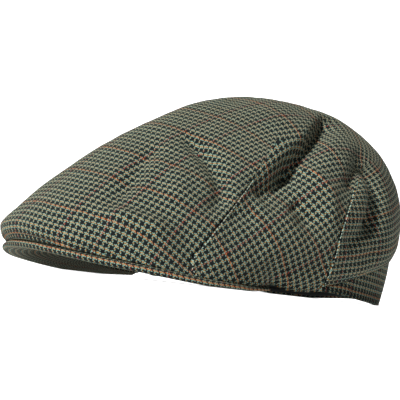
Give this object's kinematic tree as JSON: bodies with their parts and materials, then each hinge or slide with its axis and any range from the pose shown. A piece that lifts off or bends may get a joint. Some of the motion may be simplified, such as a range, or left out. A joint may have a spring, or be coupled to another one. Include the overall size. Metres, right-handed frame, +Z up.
{
  "type": "flat cap",
  "caption": "Flat cap with a rounded one-piece crown gathered by darts over a stiff covered peak, a band at the back and an inner sweatband.",
  "frame": {"origin": "centre of the box of the cap on the surface it rests on", "axes": "+Z up, -Y to the front where the peak is, +X to the wearer's left"},
  "size_m": [0.194, 0.264, 0.1265],
  "materials": {
    "tweed": "matt wool houndstooth with faint orange and red overcheck",
    "sweatband_twill": "matt charcoal green cotton twill",
    "stretch_satin": "satin black stretch tape"
  },
  "bodies": {
    "root": {"crown": "tweed", "peak": "tweed", "back_band": "tweed", "sweatband": "sweatband_twill", "stretch_band": "stretch_satin"}
  },
  "joints": []
}
